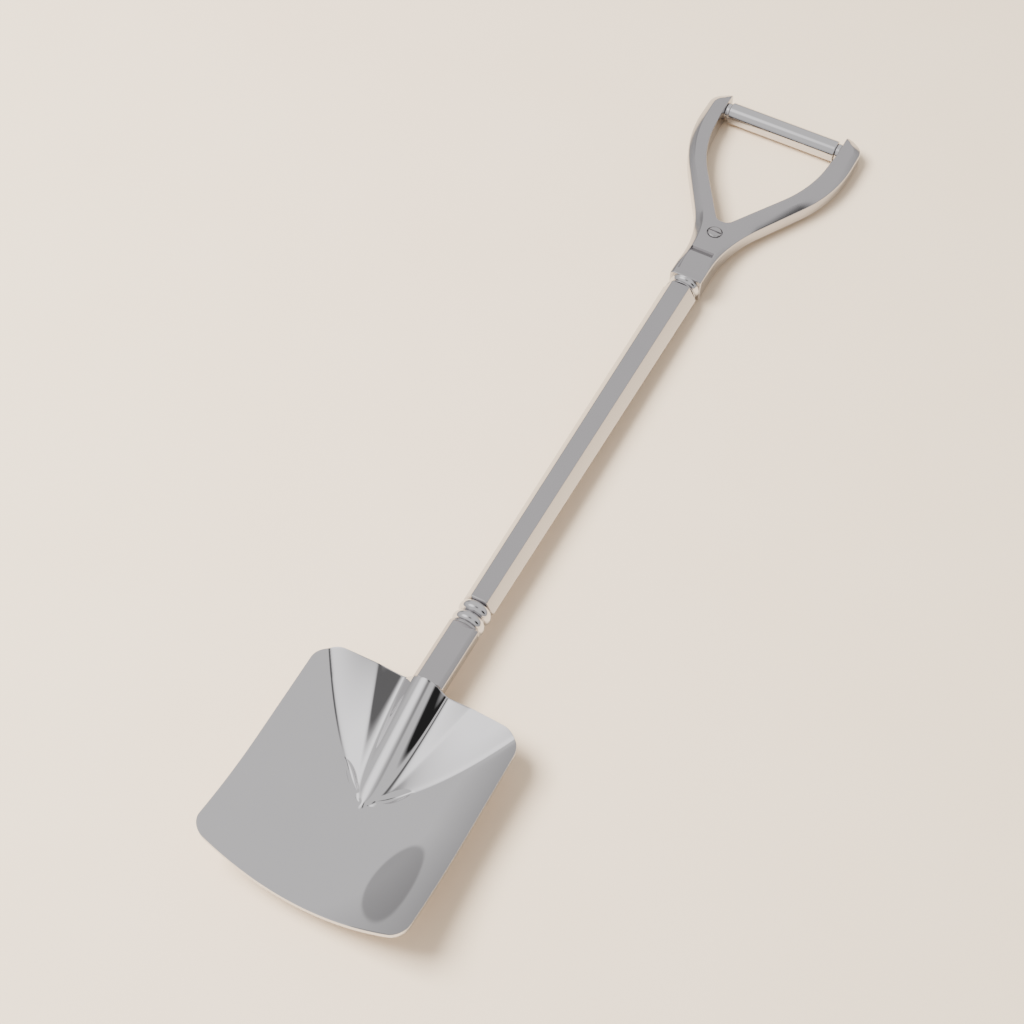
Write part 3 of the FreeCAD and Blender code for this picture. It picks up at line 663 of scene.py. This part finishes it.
def make_crossbar():
    """Round bar between the two arms."""
    bench, (reach, radius) = new_tree("crossbar", ["Reach", "Radius"])
    bar = rod(bench, bench.vector(BAR_PLACE, -reach, 0), bench.vector(BAR_PLACE, reach, 0),
              round_section(bench, radius, 96), 1.0, 1.0, BAR_LIP)
    bar = grow("crossbar", close_tree(bench, bar, mirror_steel), [
        ARM_INNER - BAR_COLLAR_LENGTH, BAR_RADIUS])
    tidy_normals(bar)
    smooth_by_angle(bar, 60)
    fit(bar, "polished_steel", "grip_bar")


# ---------------------------------------------------------------- yoke

OUTLINE_STEP = 0.35
YOKE_ROUND = 0.2
SOCKET_BAND = 0.6
ARM_BAND = 1.5
SOCKET_DROP = 0.3
ARM_DROP = 0.95
BAND_GROWTH = CROTCH + 6
LEAST_BANDS = 2.2
BACK_BREAK = 0.6
BACK_BREAK_SHARE = 0.45
END_CAP = 1.5
THROAT_RINGS = 40
ARM_RINGS = 110
CURL_STEPS = 8
PANEL_RIM = 1.2
PANEL_LENGTH = 6.5
PANEL_SIDE_RIM = 0.7
PANEL_DEPTH = 0.2
PANEL_CROWN = 0.45
PANEL_STEPS = 16


def rounded_path(corners):
    """Points along straight runs joined by arcs; corners are (along, side, radius)."""
    points = [Vector(corners[0][:2])]
    for before, here, after in zip(corners, corners[1:], corners[2:]):
        corner = Vector(here[:2])
        back = (Vector(before[:2]) - corner).normalized()
        ahead = (Vector(after[:2]) - corner).normalized()
        if here[2] == 0:
            points.append(corner)
            continue
        half_angle = back.angle(ahead) / 2
        centre = corner + (back + ahead).normalized() * here[2] / sin(half_angle)
        first = corner + back * here[2] / tan(half_angle)
        last = corner + ahead * here[2] / tan(half_angle)
        swing = pi - 2 * half_angle
        steps = max(2, ceil(swing * here[2] / OUTLINE_STEP))
        arm = first - centre
        way = 1 if arm.x * (last - centre).y - arm.y * (last - centre).x > 0 else -1
        for step in range(steps + 1):
            turn = way * swing * step / steps
            points.append(centre + Vector((arm.x * cos(turn) - arm.y * sin(turn),
                                           arm.x * sin(turn) + arm.y * cos(turn))))
    points.append(Vector(corners[-1][:2]))
    return points


def along_path(points, count):
    """This many points evenly spaced along a path."""
    lengths = [0.0]
    for first, second in zip(points, points[1:]):
        lengths.append(lengths[-1] + (second - first).length)
    spaced = []
    segment = 0
    for number in range(count):
        target = lengths[-1] * number / (count - 1)
        while segment < len(points) - 2 and lengths[segment + 1] < target:
            segment += 1
        run = lengths[segment + 1] - lengths[segment]
        share = (target - lengths[segment]) / run if run else 0.0
        spaced.append(points[segment].lerp(points[segment + 1], min(1.0, max(0.0, share))))
    return spaced


def yoke_edges():
    """Matching points along the yoke's outer and inner edges, from the socket to the arm's end."""
    root = SOCKET_WIDTH / 2
    outer = GRIP_WIDTH / 2
    rise = atan2(ARM_INNER - ARM_FLARE, HIGH_BEND - INNER_SETBACK - CROTCH)
    centre = YOKE_START + CROTCH + CROTCH_RADIUS / sin(rise)
    leave = (centre - CROTCH_RADIUS * sin(rise), CROTCH_RADIUS * cos(rise), 0)
    outer_corners = [
        (YOKE_START, root, 0),
        (YOKE_START + LOW_BEND, root, LOW_BEND_RADIUS),
        (YOKE_START + HIGH_BEND, outer, HIGH_BEND_RADIUS),
        (HANDLE_END, outer, GRIP_CORNER),
        (HANDLE_END, ARM_INNER, 0),
    ]
    outside = rounded_path(outer_corners)
    split = min(range(len(outside)), key=lambda i: abs(outside[i].x - (YOKE_START + CROTCH)))
    apex = centre - CROTCH_RADIUS
    curl = [Vector((centre - CROTCH_RADIUS * cos(turn), CROTCH_RADIUS * sin(turn)))
            for turn in [(pi / 2 - rise) * step / CURL_STEPS for step in range(CURL_STEPS)]]
    inside = rounded_path([
        leave,
        (YOKE_START + HIGH_BEND - INNER_SETBACK, ARM_INNER - ARM_FLARE, INNER_RADIUS),
        (BAR_PLACE - ARM_END, ARM_INNER, 0),
        (HANDLE_END - END_CAP, ARM_INNER, 0),
    ])
    throat = zip(along_path(outside[:split + 1], THROAT_RINGS),
                 along_path([Vector((YOKE_START, 0)), Vector((apex, 0))], THROAT_RINGS))
    arm = zip(along_path(outside[split:], ARM_RINGS), along_path(curl + inside, ARM_RINGS))
    return list(throat), list(arm)[1:]


def blend(start, end, share):
    """A value that moves smoothly from start to end."""
    share = min(1.0, max(0.0, share))
    return start + (end - start) * share * share * (3 - 2 * share)


def half_height(x):
    """Half the yoke's height at this place: the socket's, tapering down to the arms'."""
    share = min(1.0, max(0.0, ((x - YOKE_START) - SOCKET_LENGTH) / (TAPER_END - SOCKET_LENGTH)))
    return (SOCKET_HEIGHT + (ARM_THICKNESS - SOCKET_HEIGHT) * share) / 2


def yoke_section(outer, inner):
    """Points round one half of the yoke's section, from its inner top to its inner bottom."""
    along = (outer.x + inner.x) / 2 - YOKE_START
    top = half_height(outer.x)
    top_in = half_height(inner.x)
    band = blend(SOCKET_BAND, ARM_BAND, along / BAND_GROWTH)
    drop = blend(SOCKET_DROP, ARM_DROP, along / CROTCH)
    inwards = (inner - outer).normalized()
    width = (inner - outer).length
    narrow = min(1.0, width / (LEAST_BANDS * band))
    band = band * narrow
    drop = drop * narrow
    crease = outer + inwards * band
    foot = outer + inwards * min(BACK_BREAK, width * BACK_BREAK_SHARE)
    return [
        (inner.x, inner.y, top_in),
        (crease.x, crease.y, top),
        (outer.x, outer.y, top - drop),
        (outer.x, outer.y, BACK_BREAK - top),
        (foot.x, foot.y, -top),
        (inner.x, inner.y, -top_in),
    ]


def half_yoke(shape, side):
    """One half of the yoke's skin."""
    throat, arm = yoke_edges()
    rings = []
    for outer, inner in throat + arm:
        rings.append([shape.verts.new((x, side * y, z)) for x, y, z in yoke_section(outer, inner)])
    for number, (near, far) in enumerate(zip(rings, rings[1:])):
        for spot in range(len(near) - 1):
            shape.faces.new((near[spot], near[spot + 1], far[spot + 1], far[spot]))
        if number >= len(throat) - 1:
            shape.faces.new((near[-1], near[0], far[0], far[-1]))
    shape.faces.new(rings[-1])
    shape.faces.new(rings[0])


def cutter(name, build):
    """A closed shape to be taken away from a piece."""
    shape = bmesh.new()
    build(shape)
    bmesh.ops.recalc_face_normals(shape, faces=shape.faces)
    mesh = bpy.data.meshes.new(name)
    shape.to_mesh(mesh)
    shape.free()
    return link(name, mesh)


def cut(piece, tool):
    """Takes the tool away from the piece."""
    step = piece.modifiers.new("cut", "BOOLEAN")
    step.operation = "DIFFERENCE"
    step.solver = "EXACT"
    step.object = tool
    piece = bake(piece)
    bpy.data.objects.remove(tool)
    return piece


def panel_hollow(shape):
    """Recess over the throat, whose floor is crowned along the handle."""
    side = SOCKET_WIDTH / 2 - PANEL_SIDE_RIM
    rows = []
    for step in range(PANEL_STEPS + 1):
        share = step / PANEL_STEPS
        x = YOKE_START + PANEL_RIM + (PANEL_LENGTH - PANEL_RIM) * share
        floor = SOCKET_HEIGHT / 2 - PANEL_DEPTH - PANEL_CROWN * (2 * share - 1) ** 2
        rows.append([shape.verts.new(spot) for spot in (
            (x, -side, floor), (x, side, floor),
            (x, side, SOCKET_HEIGHT), (x, -side, SOCKET_HEIGHT))])
    for near, far in zip(rows, rows[1:]):
        for spot in range(4):
            shape.faces.new((near[spot], near[(spot + 1) % 4], far[(spot + 1) % 4], far[spot]))
    shape.faces.new(rows[0])
    shape.faces.new(rows[-1])


def rivet_seat():
    """Height of the rivet's recess floor above the handle's axis."""
    share = (TAPER_END - RIVET_PLACE) / (TAPER_END - SOCKET_LENGTH)
    return ARM_THICKNESS / 2 + (SOCKET_HEIGHT - ARM_THICKNESS) / 2 * share - RIVET_RECESS_DEPTH


def rivet_hollow(shape):
    """Round recess for the rivet's head, flared at its mouth."""
    depth = 2
    place = Matrix.Translation((YOKE_START + RIVET_PLACE, 0, rivet_seat() + depth / 2))
    bmesh.ops.create_cone(shape, cap_ends=True, segments=64, radius1=RIVET_RECESS,
                          radius2=RIVET_RECESS + RIVET_FLARE, depth=depth, matrix=place)


def make_yoke():
    """Forked frame of the grip: flat inner bands, sloping outer bands, panel and rivet recess."""
    shape = bmesh.new()
    half_yoke(shape, 1)
    half_yoke(shape, -1)
    bmesh.ops.remove_doubles(shape, verts=shape.verts, dist=MERGE_DISTANCE)
    bmesh.ops.recalc_face_normals(shape, faces=shape.faces)
    mesh = bpy.data.meshes.new("forked_yoke")
    shape.to_mesh(mesh)
    shape.free()
    yoke = link("forked_yoke", mesh)
    rounding = yoke.modifiers.new("edges", "BEVEL")
    rounding.width = YOKE_ROUND
    rounding.segments = 4
    rounding.limit_method = "ANGLE"
    rounding.angle_limit = radians(18)
    rounding.use_clamp_overlap = False
    yoke = bake(yoke)
    yoke = cut(yoke, cutter("panel_tool", panel_hollow))
    yoke = cut(yoke, cutter("rivet_tool", rivet_hollow))
    yoke.data.transform(Matrix.Translation((TOP_EDGE * MM, 0, AXIS_HEIGHT * MM))
                        @ Matrix.Rotation(TILT, 4, "Y") @ Matrix.Scale(MM, 4))
    yoke.data.materials.clear()
    yoke.data.materials.append(satin_steel)
    smooth_by_angle(yoke, 35)
    weights = yoke.modifiers.new("shading", "WEIGHTED_NORMAL")
    weights.keep_sharp = True
    yoke = bake(yoke)
    fit(yoke, "satin_steel", "yoke")


def make_rivet():
    """Slotted rivet head with softened edges."""
    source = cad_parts["yoke_rivet"]
    rivet = link("slotted_rivet", source.data.copy())
    tidy_normals(rivet)
    rivet.data.materials.clear()
    rivet.data.materials.append(satin_steel)
    rounding = rivet.modifiers.new("edges", "BEVEL")
    rounding.width = 0.04 * MM
    rounding.segments = 2
    rounding.limit_method = "ANGLE"
    rounding.angle_limit = radians(35)
    rivet = bake(rivet)
    smooth_by_angle(rivet, 40)
    fit(rivet, "satin_steel", "yoke_rivet")


# ---------------------------------------------------------------- scene around the shovel

FLOOR_REACH = 1.5

# patches of the light tent: azimuth, elevation, reach and blur in degrees
OPENING = (-135, 80, 10, 8)
DARK_SIDE = (-99, 30, 15, 10)
GREY_CARD = (55, 19, 10, 1)
WINDOW = (118, 57, 17, 16)

TENT_BRIGHTNESS = 0.95
TENT_FOOT_SHARE = 0.55
TENT_FOOT_HEIGHT = 0.4
OPENING_DIMMING = 0.8
DARK_SIDE_DIMMING = 0.97
CARD_DIMMING = 0.4
WINDOW_BRIGHTNESS = 1.2

VIEW_AZIMUTH = 208.3
VIEW_ELEVATION = 57.05
VIEW_DISTANCE = 255.3
VIEW_TARGET = Vector((-11.2, 4.6, 0))
VIEW_LENS = 62.58


def make_floor():
    """Plain pale floor, faintly uneven in tone."""
    finish, bench, shader, place = new_finish("pale_floor")
    cloud = noise(bench, place, 40.0, 2.0)
    tone = bench.add("ShaderNodeMix", {"data_type": "RGBA"}, {
        0: cloud, 6: (0.92, 0.73, 0.52, 1), 7: (0.95, 0.77, 0.57, 1)}, 2)
    plug(bench, shader, "Base Color", tone)
    plug(bench, shader, "Roughness", 0.85 + (cloud - 0.5) * 0.1)
    mesh = bpy.data.meshes.new("floor")
    corners = [(-1, -1), (1, -1), (1, 1), (-1, 1)]
    mesh.from_pydata([(x * FLOOR_REACH, y * FLOOR_REACH, 0) for x, y in corners], [], [(0, 1, 2, 3)])
    mesh.materials.append(finish)
    floor = link("floor", mesh)


def direction(azimuth, elevation):
    """The unit vector towards this azimuth and elevation in degrees."""
    azimuth, elevation = radians(azimuth), radians(elevation)
    return Vector((cos(elevation) * cos(azimuth), cos(elevation) * sin(azimuth), sin(elevation)))


def make_softbox(name, azimuth, elevation, distance, width, height, power):
    """A soft rectangular light that faces the shovel and isn't seen in its reflections."""
    lamp = bpy.data.lights.new(name, "AREA")
    lamp.shape = "RECTANGLE"
    lamp.size = width
    lamp.size_y = height
    lamp.energy = power
    light = link(name, lamp)
    way = direction(azimuth, elevation)
    light.location = way * distance
    light.rotation_euler = way.to_track_quat("Z", "Y").to_euler()
    light.visible_glossy = False


def facing(parts, patch):
    """1 within the patch's reach of its direction, falling to 0 over its blur."""
    azimuth, elevation, reach, blur = patch
    way = direction(azimuth, elevation)
    x, y, z = parts
    near = cos(radians(reach - blur / 2))
    far = cos(radians(reach + blur / 2))
    level = x * way.x + y * way.y + z * way.z
    return ((level - far) / (near - far)).at_least(0.0).at_most(1.0)


def make_surroundings():
    """A pale light tent with four patches placed for their reflections in the steel.

    They are its dark opening overhead, a dark side, a grey card and a bright window.
    """
    world = bpy.data.worlds.new("studio")
    world.use_nodes = True
    bpy.context.scene.world = world
    bench = Bench(world.node_tree)
    parts = bench.parts(bench.add("ShaderNodeTexCoord", output="Generated"))
    height = (parts[2] / TENT_FOOT_HEIGHT).at_least(0.0).at_most(1.0)
    brightness = TENT_BRIGHTNESS * (TENT_FOOT_SHARE + (1 - TENT_FOOT_SHARE) * height)
    brightness = brightness * (1 - OPENING_DIMMING * facing(parts, OPENING))
    brightness = brightness * (1 - DARK_SIDE_DIMMING * facing(parts, DARK_SIDE))
    brightness = brightness * (1 - CARD_DIMMING * facing(parts, GREY_CARD))
    brightness = brightness + WINDOW_BRIGHTNESS * facing(parts, WINDOW)
    tone = bench.add("ShaderNodeVectorMath", {"operation": "SCALE"}, {
        0: (1.0, 0.985, 0.99), "Scale": brightness})
    plug(bench, world.node_tree.nodes["Background"], "Color", tone)


def make_camera():
    lens = bpy.data.cameras.new("view")
    lens.lens = VIEW_LENS
    lens.sensor_width = 36
    lens.clip_start = 0.005
    camera = link("view", lens)
    way = direction(VIEW_AZIMUTH, VIEW_ELEVATION)
    camera.location = (VIEW_TARGET + way * VIEW_DISTANCE) * MM
    camera.rotation_euler = way.to_track_quat("Z", "Y").to_euler()
    bpy.context.scene.camera = camera


make_blade()
make_neck()
make_welds()
make_rings()
make_shaft()
make_yoke()
make_rivet()
make_crossbar()
make_floor()
make_surroundings()
make_softbox("key", azimuth=116, elevation=59, distance=0.5, width=0.24, height=0.24, power=6.5)
make_camera()

bpy.context.view_layer.update()
